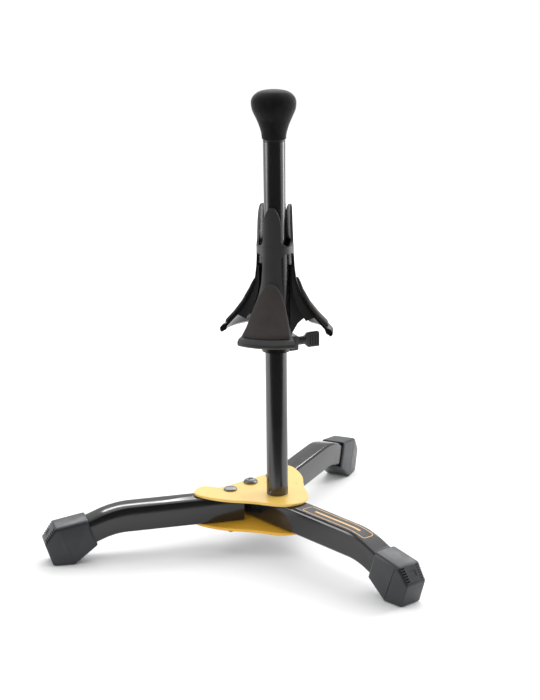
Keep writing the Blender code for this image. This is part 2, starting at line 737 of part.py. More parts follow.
def make_pads():
    """A foam pad on each petal's outer face, round at its top and resting on the petal's lip."""
    line = [point for point in petal_line() if point[1] <= PAD_TOP + 0.5 * MM]
    near = offset_profile(line, GAP)
    far = offset_profile(line, GAP + PAD_THICK)
    near[-1] = (near[-1][0] + 0.4 * MM, near[-1][1] - 0.1 * MM)
    for i, name in enumerate(("pad_front", "pad_right", "pad_left")):
        heading = PETAL_HEADING + TAU * i / PETAL_COUNT
        pad = turned(name, [*far, *reversed(near)], steps=60)
        adopt(pad, name, SUPPORT, FOAM)
        width, height = PAD_ARCH
        half = [(60 * MM, 170 * MM), (60 * MM, PAD_TOP - height - 4 * MM)]
        half += [(width * k / 6, PAD_TOP - height * (k / 6) ** 2) for k in range(6, -1, -1)]
        outline = half + [(-x, z) for x, z in reversed(half[:-1])]
        arched = upright_slab("pad_arch", outline, 70 * MM)
        arched.data.transform(Matrix.Translation((0.0, -38 * MM, 0.0)))
        arched.rotation_euler = (0.0, 0.0, heading + math.radians(90))
        combine(pad, as_cutter(arched, SUPPORT), "INTERSECT")
        spread = math.tan(PETAL_HALF_ANGLE - math.radians(0.8))
        outline = [(2 * MM, 2 * MM * spread), (2 * MM, -2 * MM * spread), (62 * MM, -62 * MM * spread),
                   (62 * MM, 62 * MM * spread)]
        wedge = slab("pad_wedge", outline, 170 * MM, 240 * MM)
        wedge.rotation_euler = (0.0, 0.0, heading)
        combine(pad, as_cutter(wedge, SUPPORT), "INTERSECT")
        shade(pad)


def make_thumb_screw():
    """The grip and its stud, with the captive nut and the shoe that presses on the post."""
    axis = Matrix.Translation((0.0, 0.0, SCREW_Z))
    neck_end = GRIP_START + 7.4 * MM
    grip = box((GRIP_END - neck_end, 4.6 * MM, 12.4 * MM), ((GRIP_END + neck_end) / 2, 0.0, SCREW_Z))
    grip = adopt(grip, "thumb_screw_grip", SCREW, PLASTIC)
    soften(grip, 1.0 * MM, segments=2)
    neck = lie_along_x(cylinder(3.5 * MM, GRIP_START, neck_end + 1.5 * MM, sides=24))
    neck.data.transform(axis)
    combine(grip, as_cutter(neck, SCREW), "UNION")
    bore = lie_along_x(cylinder(STUD_R + GAP, GRIP_START - MM, GRIP_START + 6.8 * MM, sides=24))
    bore.data.transform(axis)
    combine(grip, as_cutter(bore, SCREW), "DIFFERENCE")
    shade(grip)

    stud = lie_along_x(cylinder(STUD_R, 11.2 * MM, GRIP_START + 6.4 * MM, sides=20))
    stud.data.transform(axis)
    adopt(stud, "thumb_screw_stud", SCREW, ZINC)
    shade(stud)

    nut = box((3.2 * MM, 8.0 * MM, 8.0 * MM), (13.9 * MM, 0.0, SCREW_Z))
    nut = adopt(nut, "captive_nut", SCREW_AXIS, ZINC)
    thread = lie_along_x(cylinder(STUD_R + GAP, 10 * MM, 18 * MM, sides=20))
    thread.data.transform(axis)
    combine(nut, as_cutter(thread, SCREW_AXIS), "DIFFERENCE")

    shoe = lie_along_x(cylinder(3.2 * MM, POST_R + GAP, 10.9 * MM, sides=24))
    shoe.data.transform(axis)
    adopt(shoe, "pressure_shoe", SCREW_AXIS, NYLON)
    against_post = cylinder(POST_R + GAP, SCREW_Z - 10 * MM, SCREW_Z + 10 * MM, sides=48)
    combine(shoe, as_cutter(against_post, SUPPORT), "DIFFERENCE")
    shade(shoe)


# ---------------------------------------------------------------- the stand

POST = make_empty("post_axis", (POST_X, POST_Y, 0.0))
SUPPORT = make_empty("support_slide", (0.0, 0.0, SUPPORT_RAISED), parent=POST)
SCREW_AXIS = make_empty("screw_axis", (0.0, 0.0, 0.0), SCREW_HEADING, parent=SUPPORT)
SCREW = make_empty("screw_turn", (0.0, 0.0, 0.0), parent=SCREW_AXIS)

for leg_name, (leg_place, leg_heading, leg_reach) in LEGS.items():
    leg_pivot = make_empty(f"pivot_{leg_name}", (*leg_place, 0.0), leg_heading, parent=POST)
    make_leg(leg_name, leg_reach, leg_pivot)
    make_foot(leg_name, leg_reach, leg_pivot)
    make_bush(f"bush_{leg_name}", leg_pivot)
    if leg_name == "front":
        make_plates(leg_pivot)
        make_front_screw(leg_pivot)
        make_keeper(leg_pivot)
    else:
        make_rivet(f"pivot_rivet_{leg_name}", leg_pivot)

make_post()
make_peg()
make_support()
make_pads()
make_thumb_screw()
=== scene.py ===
"""Looks of the folding peg stand with its bell support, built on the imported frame.

Metres, +Z up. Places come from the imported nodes' boxes; shapes that replace a CAD node repeat
its driving dimensions here and stay within 0.3 mm of the CAD's box.
"""

import math

import bmesh
import bpy
from mathutils import Matrix, Vector, noise


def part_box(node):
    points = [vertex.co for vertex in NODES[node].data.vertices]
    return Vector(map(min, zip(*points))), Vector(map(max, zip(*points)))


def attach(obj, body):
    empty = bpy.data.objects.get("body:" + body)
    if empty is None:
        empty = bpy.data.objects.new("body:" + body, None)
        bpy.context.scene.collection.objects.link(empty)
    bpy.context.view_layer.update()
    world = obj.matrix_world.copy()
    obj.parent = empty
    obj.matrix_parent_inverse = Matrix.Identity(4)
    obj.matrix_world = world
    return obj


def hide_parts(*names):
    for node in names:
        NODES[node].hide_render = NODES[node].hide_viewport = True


MM = 0.001
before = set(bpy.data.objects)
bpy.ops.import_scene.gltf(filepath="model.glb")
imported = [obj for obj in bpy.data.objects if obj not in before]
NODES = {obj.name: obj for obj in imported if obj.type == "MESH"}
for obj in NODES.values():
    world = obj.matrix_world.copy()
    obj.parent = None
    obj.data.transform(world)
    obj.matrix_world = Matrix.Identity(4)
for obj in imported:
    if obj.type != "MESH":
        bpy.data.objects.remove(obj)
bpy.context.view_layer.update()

# ---------------------------------------------------------------- places, from the frame

tube_low, tube_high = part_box("post_tube")
POST = Vector(((tube_low.x + tube_high.x) / 2, (tube_low.y + tube_high.y) / 2, 0.0))

# The legs as the CAD has them: pivot from the post, heading, and reach to the foot's inner sole edge
LEGS = {
    "left": (Vector((-39.3, 11.3)) * MM, math.radians(192.1), 137.5 * MM),
    "front": (Vector((-21.5, 27.7)) * MM, math.radians(-52.9), 179.7 * MM),
    "back": (Vector((-2.2, 42.1)) * MM, math.radians(62.0), 147.2 * MM),
}
LEG_BODY = {"left": "left_leg", "front": "stand", "back": "back_leg"}
LEG_WIDTH = 19.5 * MM
LEG_HEIGHT = 22.7 * MM
LEG_SQUEEZE = 0.91  # what the bend leaves of a leg's height
LEG_Z = 33.65 * MM
BEND_BACK = 50.0 * MM
BEND_RADIUS = 70.0 * MM
BEND_ANGLE = math.radians(20.7)

FOOT_HALF_WIDTH = 11.7 * MM
FOOT_TAPER = 0.085
FOOT_SLEEVE = [(11.3, 33.4), (-13.2, 37.5), (-21.0, 14.9), (-1.4, 0.0)]
FOOT_BLOCK = [(-1.4, 0.0), (16.8, 0.0), (23.4, 20.2), (14.2, 32.9), (11.3, 33.4)]

PETAL_HEADING = math.radians(-104.3)
SCREW_HEADING = PETAL_HEADING + math.radians(124)
SCREW_Z = 178.6 * MM
GRIP_START = 18.6 * MM
GRIP_END = 38.4 * MM

SMOOTH_BELOW = math.radians(32)  # edges flatter than this are shaded smooth
WELD_DISTANCE = 0.00001
PAINTED_SHADE_RADIUS = 12.5 * MM  # nearer the post than this, the support takes its near-black inside colour, painted shade seen through the windows
PEG_STEPS = 128
GRIP_STEPS = 32
LABEL_PANEL = (58 * MM, 164 * MM, 6.9 * MM)  # start, end and half width along the front leg
LABEL_BAR = (84 * MM, 138 * MM, 1.1 * MM)
PANEL_LIFT = 0.03 * MM
INK_LIFT = 0.06 * MM


# ---------------------------------------------------------------- materials

class Nodes:
    """A short way to wire a Principled material."""

    def __init__(self, name):
        self.mat = bpy.data.materials.new(name)
        self.mat.use_nodes = True
        self.tree = self.mat.node_tree
        self.shader = self.tree.nodes["Principled BSDF"]
        self.place = self.tree.nodes.new("ShaderNodeTexCoord").outputs["Object"]

    def set(self, **values):
        for key, value in values.items():
            socket = self.shader.inputs[key.replace("_", " ")]
            socket.default_value = (*value, 1.0) if isinstance(value, tuple) else value
        return self

    def link(self, a, b):
        self.tree.links.new(a, b)

    def noise(self, scale, detail=4.0, rough=0.55, stretch=(1, 1, 1), distortion=0.0):
        """Noise of this many cells per metre; stretch squeezes it along an axis."""
        mapping = self.tree.nodes.new("ShaderNodeMapping")
        mapping.inputs["Scale"].default_value = stretch
        self.link(self.place, mapping.inputs["Vector"])
        node = self.tree.nodes.new("ShaderNodeTexNoise")
        node.inputs["Scale"].default_value = scale
        node.inputs["Detail"].default_value = detail
        node.inputs["Roughness"].default_value = rough
        node.inputs["Distortion"].default_value = distortion
        self.link(mapping.outputs["Vector"], node.inputs["Vector"])
        return node.outputs["Fac"]

    def cells(self, scale, feature="F1"):
        node = self.tree.nodes.new("ShaderNodeTexVoronoi")
        node.feature = feature
        node.inputs["Scale"].default_value = scale
        self.link(self.place, node.inputs["Vector"])
        return node.outputs["Distance"]

    def ramp(self, source, stops):
        """Colours or greys by a 0-1 value: stops are (place, colour or grey)."""
        node = self.tree.nodes.new("ShaderNodeValToRGB")
        elements = node.color_ramp.elements
        while len(elements) < len(stops):
            elements.new(0.5)
        for element, (place, value) in zip(elements, stops):
            element.position = place
            colour = value if isinstance(value, tuple) else (value,) * 3
            element.color = (*colour, 1.0)
        self.link(source, node.inputs["Fac"])
        return node.outputs["Color"]

    def blend(self, kind, factor, a, b):
        node = self.tree.nodes.new("ShaderNodeMixRGB")
        node.blend_type = kind
        for socket, value in zip(node.inputs, (factor, a, b)):
            if isinstance(value, bpy.types.NodeSocket):
                self.link(value, socket)
            else:
                socket.default_value = value if isinstance(value, float) else (*value, 1.0)
        return node.outputs["Color"]

    def bump(self, heights):
        """Bump from (height source, strength, distance in metres), one on the other."""
        normal = None
        for source, strength, distance in heights:
            node = self.tree.nodes.new("ShaderNodeBump")
            node.inputs["Strength"].default_value = strength
            node.inputs["Distance"].default_value = distance
            self.link(source, node.inputs["Height"])
            if normal:
                self.link(normal, node.inputs["Normal"])
            normal = node.outputs["Normal"]
        self.link(normal, self.shader.inputs["Normal"])
        return self

    def colour(self, source):
        self.link(source, self.shader.inputs["Base Color"])
        return self

    def rough(self, source):
        self.link(source, self.shader.inputs["Roughness"])
        return self


def tinted(colour, factor):
    return tuple(min(1.0, channel * factor) for channel in colour)


def enamel(name, colour, low, high, peel=0.25, metallic=0.0, specular=0.5):
    """Baked enamel or powder coat: fine orange peel, faint shifts of tone and gloss."""
    n = Nodes(name).set(Specular_IOR_Level=specular, Metallic=metallic)
    n.colour(n.ramp(n.noise(35, 3), [(0.3, tinted(colour, 0.95)), (0.7, tinted(colour, 1.05))]))
    n.rough(n.ramp(n.noise(60, 6, 0.65, (1, 1, 0.5)), [(0.3, low), (0.72, high)]))
    n.bump([(n.noise(900, 2, 0.5), peel, 0.00003), (n.noise(3200, 3, 0.6), peel * 0.5, 0.00001)])
    return n.mat


def moulded(name, colour, low, high, grain=0.2):
    """Injection-moulded plastic: fine spark grain with faint flow marks."""
    n = Nodes(name).set(Specular_IOR_Level=0.5)
    flow = n.noise(28, 4, 0.6, (1, 1, 0.35), 0.6)
    n.colour(n.ramp(flow, [(0.3, tinted(colour, 0.82)), (0.7, tinted(colour, 1.15))]))
    n.rough(n.ramp(n.noise(120, 5, 0.65), [(0.3, low), (0.7, high)]))
    n.bump([(n.noise(2600, 3, 0.6), grain, 0.00003), (n.noise(240, 3), 0.08, 0.00012)])
    return n.mat


def support_plastic_painted_shade(name, outside, inside):
    """Moulded plastic, grained outside and polished inside, told apart by the way faces look; the inside's
    near-black colour is painted shade in the hollow, and faces near the post take it too as painted shade
    seen through the windows.
    """
    n = Nodes(name).set(Specular_IOR_Level=0.5)
    coords = n.tree.nodes.new("ShaderNodeTexCoord")
    steps = [("SUBTRACT", tuple(POST)), ("MULTIPLY", (1.0, 1.0, 0.0)), ("NORMALIZE", None)]
    radial = coords.outputs["Object"]
    for operation, value in steps:
        node = n.tree.nodes.new("ShaderNodeVectorMath")
        node.operation = operation
        n.link(radial, node.inputs[0])
        if value:
            node.inputs[1].default_value = value
        flat, radial = radial, node.outputs["Vector"]
    dot = n.tree.nodes.new("ShaderNodeVectorMath")
    dot.operation = "DOT_PRODUCT"
    n.link(radial, dot.inputs[0])
    n.link(coords.outputs["Normal"], dot.inputs[1])
    length = n.tree.nodes.new("ShaderNodeVectorMath")
    length.operation = "LENGTH"
    n.link(flat, length.inputs[0])
    # Faces nearer the post than the shade radius get the inside colour: painted shade seen through the
    # windows.
    beyond_painted_shade = n.tree.nodes.new("ShaderNodeMath")
    beyond_painted_shade.operation = "GREATER_THAN"
    beyond_painted_shade.inputs[1].default_value = PAINTED_SHADE_RADIUS
    n.link(length.outputs["Value"], beyond_painted_shade.inputs[0])
    outward = n.blend("MULTIPLY", 1.0, n.ramp(dot.outputs["Value"], [(0.0, 0.0), (0.08, 1.0)]),
                      beyond_painted_shade.outputs["Value"])
    tone = n.ramp(n.noise(28, 4, 0.6, (1, 1, 0.35), 0.6),
                  [(0.3, tinted(outside, 0.9)), (0.7, tinted(outside, 1.1))])
    gloss = n.ramp(n.noise(120, 5, 0.65), [(0.3, (0.36,) * 3), (0.7, (0.46,) * 3)])
    sheen = n.ramp(n.noise(90, 5, 0.65), [(0.3, (0.22,) * 3), (0.7, (0.3,) * 3)])
    # Where outward is 0 the near-black inside colour goes on as painted shade; the inside's lower roughness
    # is its real polish.
    n.colour(n.blend("MIX", outward, inside, tone))
    n.rough(n.blend("MIX", outward, sheen, gloss))
    n.bump([(n.noise(2600, 3, 0.6), 0.12, 0.00003), (n.noise(240, 3), 0.05, 0.0001)])
    return n.mat


def rubber(name, colour):
    """Matte rubber: faint bloom, fine grain and a few small scuffs."""
    n = Nodes(name).set(Specular_IOR_Level=0.45)
    bloom = n.ramp(n.noise(70, 5, 0.6), [(0.32, tinted(colour, 0.88)), (0.72, tinted(colour, 1.12))])
    scuff = n.ramp(n.noise(380, 5, 0.7, (1, 1, 0.25)), [(0.68, 0.0), (0.84, 1.0)])
    n.colour(n.blend("MIX", scuff, bloom, tinted(colour, 1.5)))
    n.rough(n.ramp(n.noise(150, 5, 0.6), [(0.3, 0.3), (0.7, 0.42)]))
    n.bump([(n.noise(2400, 4, 0.65), 0.2, 0.00003), (n.noise(300, 3), 0.1, 0.0001)])
    return n.mat


def foam(name, colour):
    """Closed-cell foam: small open pores in a soft matte skin."""
    n = Nodes(name).set(Specular_IOR_Level=0.2, Sheen_Weight=0.12, Sheen_Roughness=0.6)
    pores = n.ramp(n.cells(1500), [(0.1, 0.0), (0.42, 1.0)])
    tone = n.ramp(n.noise(60, 5, 0.6), [(0.3, tinted(colour, 0.85)), (0.7, tinted(colour, 1.15))])
    n.colour(n.blend("MULTIPLY", 0.35, tone, pores))
    n.rough(n.ramp(n.noise(200, 4), [(0.3, 0.82), (0.7, 0.97)]))
    n.bump([(pores, 0.5, 0.00012), (n.noise(700, 5, 0.7), 0.35, 0.00012)])
    return n.mat


def velvet(name, colour):
    """Flocked velvet: short pile with a soft sheen and brushed patches."""
    n = Nodes(name).set(Specular_IOR_Level=0.15, Sheen_Weight=0.5, Sheen_Roughness=0.35,
                        Sheen_Tint=(0.75, 0.74, 0.76))
    patches = n.noise(85, 5, 0.6, (1, 1, 1), 0.8)
    tone = n.ramp(patches, [(0.3, tinted(colour, 0.65)), (0.7, tinted(colour, 1.6))])
    fibre = n.ramp(n.noise(2600, 4, 0.75), [(0.35, 0.45), (0.65, 1.0)])
    n.colour(n.blend("MULTIPLY", 0.8, tone, fibre))
    n.rough(n.ramp(patches, [(0.3, 0.98), (0.7, 0.86)]))
    n.bump([(n.noise(3000, 4, 0.8), 0.6, 0.00022), (n.noise(260, 4, 0.6), 0.4, 0.0005)])
    return n.mat


def plated(name, colour, low, high):
    """Dull plated steel with a faint crystalline mottle and tool marks."""
    n = Nodes(name).set(Metallic=1.0)
    mottle = n.cells(900)
    n.colour(n.ramp(mottle, [(0.1, tinted(colour, 0.8)), (0.7, tinted(colour, 1.1))]))
    n.rough(n.ramp(n.noise(500, 5, 0.65), [(0.3, low), (0.7, high)]))
    n.bump([(n.noise(1500, 4, 0.6, (1, 1, 6)), 0.15, 0.00004)])
    return n.mat


def nylon(name, colour):
    n = Nodes(name).set(Subsurface_Weight=0.1, Subsurface_Scale=0.002)
    n.colour(n.ramp(n.noise(150, 4), [(0.3, tinted(colour, 0.9)), (0.7, tinted(colour, 1.05))]))
    n.rough(n.ramp(n.noise(300, 4), [(0.3, 0.42), (0.7, 0.58)]))
    n.bump([(n.noise(1800, 3), 0.2, 0.00003)])
    return n.mat


BLACK_ENAMEL = enamel("black_enamel", (0.012, 0.012, 0.0125), 0.1, 0.17, peel=0.12, specular=0.62)
YELLOW_COAT = enamel("yellow_powder_coat", (0.86, 0.56, 0.13), 0.26, 0.36, peel=0.3)
# A deeper, more orange copy of the yellow coat for the bottom plate: painted shade and painted yellow bounce
# light between the plates.
PAINTED_SHADE_YELLOW = enamel("yellow_powder_coat_painted_shade", (0.93, 0.50, 0.045), 0.26, 0.36, peel=0.3)
POST_COAT = enamel("satin_post_coat", (0.10, 0.10, 0.103), 0.2, 0.26, peel=0.05, metallic=0.9)
PANEL = enamel("label_panel", (0.010, 0.010, 0.011), 0.42, 0.5, peel=0.1)
INK = enamel("gold_ink", (0.74, 0.44, 0.17), 0.4, 0.5, peel=0.1)
RUBBER = rubber("foot_rubber", (0.026, 0.029, 0.034))
PLASTIC = moulded("moulded_plastic", (0.02, 0.02, 0.022), 0.28, 0.42)
# The near-black inside colour is painted shade in the support's hollow.
SUPPORT_PLASTIC_PAINTED_SHADE = support_plastic_painted_shade("support_plastic_painted_shade", (0.032, 0.032, 0.034), (0.007, 0.007, 0.008))
GRIP = moulded("grip_plastic", (0.05, 0.05, 0.052), 0.32, 0.42, 0.2)
FOAM = foam("foam_pad", (0.036, 0.030, 0.028))
VELVET = velvet("peg_velvet", (0.007, 0.007, 0.008))
ZINC = plated("zinc_plating", (0.17, 0.17, 0.175), 0.3, 0.44)
NYLON = nylon("nylon", (0.72, 0.71, 0.67))

# ---------------------------------------------------------------- CAD nodes that stay


def smooth_group():
    """Geometry nodes that shade smooth across edges below an angle."""
    group = bpy.data.node_groups.new("smooth_by_angle", "GeometryNodeTree")
    group.interface.new_socket("Geometry", in_out="INPUT", socket_type="NodeSocketGeometry")
    group.interface.new_socket("Geometry", in_out="OUTPUT", socket_type="NodeSocketGeometry")
    nodes, links = group.nodes, group.links
    start, end = nodes.new("NodeGroupInput"), nodes.new("NodeGroupOutput")
    angle = nodes.new("GeometryNodeInputMeshEdgeAngle")
    under = nodes.new("FunctionNodeCompare")
    under.operation = "LESS_EQUAL"
    under.inputs[1].default_value = SMOOTH_BELOW
    faces = nodes.new("GeometryNodeSetShadeSmooth")
    edges = nodes.new("GeometryNodeSetShadeSmooth")
    edges.domain = "EDGE"
    links.new(start.outputs[0], faces.inputs["Geometry"])
    links.new(faces.outputs[0], edges.inputs["Geometry"])
    links.new(angle.outputs["Unsigned Angle"], under.inputs[0])
    links.new(under.outputs[0], edges.inputs["Shade Smooth"])
    links.new(edges.outputs[0], end.inputs[0])
    return group


SMOOTH = smooth_group()


def smooth_by_angle(obj):
    obj.modifiers.new("smooth", "NODES").node_group = SMOOTH


def refine(node, material):
    """Give a CAD node its material and smooth shading."""
    obj = NODES[node]
    obj.data.materials.clear()
    obj.data.materials.append(material)
    weld = obj.modifiers.new("weld", "WELD")
    weld.merge_threshold = WELD_DISTANCE
    smooth_by_angle(obj)


refine("top_plate", YELLOW_COAT)
refine("bottom_plate", PAINTED_SHADE_YELLOW)
for leg in LEGS:
    refine(f"leg_{leg}", BLACK_ENAMEL)
    refine(f"bush_{leg}", NYLON)
refine("post_tube", POST_COAT)
refine("peg_core", PLASTIC)
refine("bell_support", SUPPORT_PLASTIC_PAINTED_SHADE)
for node in ("pivot_rivet_left", "pivot_rivet_back", "front_screw", "front_washer", "front_nut",
             "leg_keeper_rivet", "post_spigot", "post_screw", "captive_nut", "thumb_screw_stud"):
    refine(node, ZINC)
refine("pressure_shoe", NYLON)


# ---------------------------------------------------------------- new pieces


def piece(name, bm, material, body, replaced=None):
    """A finished mesh that rides on a body and may stand for a CAD node."""
    bmesh.ops.recalc_face_normals(bm, faces=bm.faces)
    mesh = bpy.data.meshes.new(name)
    bm.to_mesh(mesh)
    bm.free()
    mesh.materials.append(material)
    obj = bpy.data.objects.new(name, mesh)
    bpy.context.scene.collection.objects.link(obj)
    mesh.shade_smooth()
    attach(obj, body)
    if replaced:
        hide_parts(replaced)
    return obj


def curve_through(points, per_span=6):
    """An open Catmull-Rom curve through the points."""
    points = [Vector(p) for p in points]
    padded = [2 * points[0] - points[1], *points, 2 * points[-1] - points[-2]]
    line = []
    for a, b, c, d in zip(padded, padded[1:], padded[2:], padded[3:]):
        for j in range(per_span):
            t = j / per_span
            line.append(0.5 * (2 * b + (c - a) * t + (2 * a - 5 * b + 4 * c - d) * t * t
                               + (3 * b - a - 3 * c + d) * t ** 3))
    return [*line, points[-1]]


def lathe(profile, steps, centre):
    """A surface of revolution about the vertical through centre; points on the axis are shared."""
    bm = bmesh.new()
    rings = []
    for r, z in profile:
        if r < 1e-6:
            rings.append([bm.verts.new((centre.x, centre.y, z))])
        else:
            rings.append([bm.verts.new((centre.x + r * math.cos(math.tau * i / steps),
                                        centre.y + r * math.sin(math.tau * i / steps), z))
                          for i in range(steps)])
    for a, b in zip(rings, rings[1:]):
        for i in range(steps):
            j = (i + 1) % steps
            loop = [a[i % len(a)], a[j % len(a)], b[j % len(b)], b[i % len(b)]]
            corners = list(dict.fromkeys(loop))
            if len(corners) > 2:
                bm.faces.new(corners)
    return bm


PEG_LOW = 348.3 * MM


def peg_cover():
    """The velvet cover: full at its shoulders, drawn in to a narrow hem under the head."""
    outer = [(0.0, 39.2), (6.5, 38.9), (11.8, 37.7), (15.7, 35.1), (17.8, 31.9), (18.3, 28.4),
             (17.3, 22.8), (13.6, 14.5), (10.8, 6.5), (9.9, 1.1)]
    hem = [(9.7, 0.4), (9.4, 0.1), (9.15, 0.4), (9.1, 1.2)]
    line = curve_through([(r * MM, PEG_LOW + z * MM) for r, z in outer], 7)
    line += curve_through([(r * MM, PEG_LOW + z * MM) for r, z in hem], 3)
    bm = lathe(line, PEG_STEPS, POST)
    for vert in bm.verts:
        out = Vector((vert.co.x - POST.x, vert.co.y - POST.y, 0.0))
        if out.length > 10 * MM or vert.co.z > PEG_LOW + 30 * MM:
            swell = noise.noise(vert.co * 55) * 0.28 + noise.noise(vert.co * 260) * 0.06
            vert.co += (out.normalized() + Vector((0, 0, 0.2))) * (swell - 0.2) * MM
    obj = piece("velvet_peg_cover", bm, VELVET, "stand", "peg_cover")


PETAL = [(17.3, 232.8), (20.7, 223.6), (26.8, 212.4), (34.2, 202.6), (42.3, 193.7)]
PAD_THICK = 2.1 * MM
PAD_ARCH = (12.7 * MM, 19.6 * MM)  # half width and length of a pad's rounded top


def along_petal(share):
    """A point on the petal's outer line and its outward normal, for a share of its length from the top."""
    points = [Vector(p) * MM for p in PETAL]
    lengths = [(b - a).length for a, b in zip(points, points[1:])]
    left = share * sum(lengths)
    for a, b, length in zip(points, points[1:], lengths):
        if left <= length or b is points[-1]:
            way = (b - a).normalized()
            return a + way * left, Vector((-way.y, way.x))
        left -= length


def foam_pad(name, node, heading):
    """A die-cut foam pad with a rounded top, soft edges and a slight crown."""
    rows, columns = 44, 36
    arch_width, arch_height = PAD_ARCH
    length = sum((Vector(b) - Vector(a)).length for a, b in zip(PETAL, PETAL[1:])) * MM
    outer, inner = [], []
    bm = bmesh.new()
    for i in range(rows + 1):
        share = (i / rows) ** 1.5
        point, normal = along_petal(share)
        if normal.x < 0:
            normal = -normal
        down = share * length
        widest = point.x * math.radians(29.2)
        half = max(min(widest, arch_width * math.sqrt(down / arch_height)), 0.25 * MM)
        for side, rim in ((outer, 1.0), (inner, 0.0)):
            row = []
            for j in range(columns + 1):
                u = -math.cos(math.pi * j / columns)
                edge = min((1 - abs(u)) * half, (length - down), down + 0.2 * MM)
                soft = math.sqrt(max(0.0, 1 - (1 - min(1.0, edge / (1.3 * MM))) ** 2))
                lift = 0.3 * MM + rim * PAD_THICK * (0.45 + 0.55 * soft)
                turn = heading + u * half / point.x
                r = point.x + normal.x * lift
                z = point.y + normal.y * lift
                row.append(bm.verts.new((POST.x + r * math.cos(turn), POST.y + r * math.sin(turn), z)))
            side.append(row)
    for grid in (outer, inner):
        for a, b in zip(grid, grid[1:]):
            for j in range(columns):
                bm.faces.new((a[j], a[j + 1], b[j + 1], b[j]))
    border = lambda g: (g[0] + [r[-1] for r in g[1:-1]] + g[-1][::-1] + [r[0] for r in g[-2:0:-1]])
    a, b = border(outer), border(inner)
    for k in range(len(a)):
        j = (k + 1) % len(a)
        bm.faces.new((a[k], a[j], b[j], b[k]))
    obj = piece(name, bm, FOAM, "support", node)


peg_cover()
for turn, side in enumerate(("front", "right", "left")):
    foam_pad(f"foam_pad_{side}", f"pad_{side}", PETAL_HEADING + math.tau * turn / 3)


def carved(base, cutters):
    """The mesh of a base object after cutting one mesh of disjoint cutters from it; both objects go."""
    cut = base.modifiers.new("cut", "BOOLEAN")
    cut.object = cutters
    cut.solver = "EXACT"
    graph = bpy.context.evaluated_depsgraph_get()
    mesh = bpy.data.meshes.new_from_object(base.evaluated_get(graph))
    for obj in (base, cutters):
        bpy.data.objects.remove(obj, do_unlink=True)
    bm = bmesh.new()
    bm.from_mesh(mesh)
    bpy.data.meshes.remove(mesh)
    return bm


def loose(name, bm):
    """A plain object for carving."""
    bmesh.ops.recalc_face_normals(bm, faces=bm.faces)
    mesh = bpy.data.meshes.new(name)
    bm.to_mesh(mesh)
    bm.free()
    obj = bpy.data.objects.new(name, mesh)
    bpy.context.scene.collection.objects.link(obj)
    return obj


def add_block(bm, size, place, turn=0.0):
    """A cutter block in the XZ plane, turned about Y."""
    shape = Matrix.Translation(place) @ Matrix.Rotation(turn, 4, "Y") @ Matrix.Diagonal((*size, 1.0))
    bmesh.ops.create_cube(bm, size=1.0, matrix=shape)


def foot_body(weights):
    """The foot before it is carved: a straight sleeve and a narrowing block, with a bevel weight by edge."""
    crease = Vector(FOOT_BLOCK[0]), Vector(FOOT_BLOCK[-1])
    across = (crease[1] - crease[0]).normalized()
    rim = FOOT_SLEEVE[1:] + FOOT_BLOCK[1:]
    bm = bmesh.new()
    sides = []
    for side in (1, -1):
        corners = []
        for x, z in rim:
            past = (x - crease[0].x) * across.y - (z - crease[0].y) * across.x
            half = FOOT_HALF_WIDTH - FOOT_TAPER * max(0.0, past) * MM
            corners.append(bm.verts.new((x * MM, side * half, z * MM)))
        sides.append(corners)
        bm.faces.new(corners[:3] + corners[-1:])
        bm.faces.new(corners[2:])
    near, far = sides
    for i in range(len(rim)):
        j = (i + 1) % len(rim)
        bm.faces.new((near[i], near[j], far[j], far[i]))
    layer = bm.edges.layers.float.new("bevel_weight_edge")
    for corners in sides:
        for i, weight in weights["along"].items():
            bm.edges.get((corners[i], corners[(i + 1) % len(rim)]))[layer] = weight
    for i, weight in weights["across"].items():
        bm.edges.get((near[i], far[i]))[layer] = weight
    return bm


def foot_cutters():
    """The leg's pocket, the crease line, and the ribs on the corners of the sloping end."""
    bm = bmesh.new()
    slope = BEND_ANGLE
    z_axis = LEG_Z - BEND_RADIUS * (1 - math.cos(slope))
    x_axis = -BEND_BACK + BEND_RADIUS * math.sin(slope)
    end = 2.5 * MM
    way = Vector((math.cos(slope), 0.0, -math.sin(slope)))
    middle = Vector((end, 0.0, z_axis - (end - x_axis) * math.tan(slope))) - way * 22 * MM
    width, height = LEG_WIDTH + 0.6 * MM, LEG_HEIGHT * LEG_SQUEEZE + 0.6 * MM
    add_block(bm, (44 * MM, width, height), middle, slope)
    low, high = Vector(FOOT_BLOCK[0]) * MM, Vector(FOOT_BLOCK[-1]) * MM
    run = high - low
    lean = math.atan2(run.x, run.y)
    for side in (1, -1):
        place = Vector(((low.x + high.x) / 2, side * (FOOT_HALF_WIDTH + 0.6 * MM), (low.y + high.y) / 2))
        add_block(bm, (0.6 * MM, 2.0 * MM, run.length * 0.86), place, lean)
    top, bottom = Vector(FOOT_BLOCK[3]) * MM, Vector(FOOT_BLOCK[2]) * MM
    fall = bottom - top
    tilt = math.atan2(-fall.y, fall.x)
    for side in (1, -1):
        for i in range(6):
            spot = top.lerp(bottom, 0.12 + 0.14 * i)
            half = FOOT_HALF_WIDTH - FOOT_TAPER * (spot.x + 1.0 * MM)
            add_block(bm, (1.15 * MM, 8.4 * MM, 3.6 * MM), Vector((spot.x, side * half, spot.y)), tilt)
    mark = top.lerp(bottom, 0.5)
    add_block(bm, (5.0 * MM, 7.0 * MM, 0.7 * MM), Vector((mark.x, 0.0, mark.y)), tilt)
    return bm


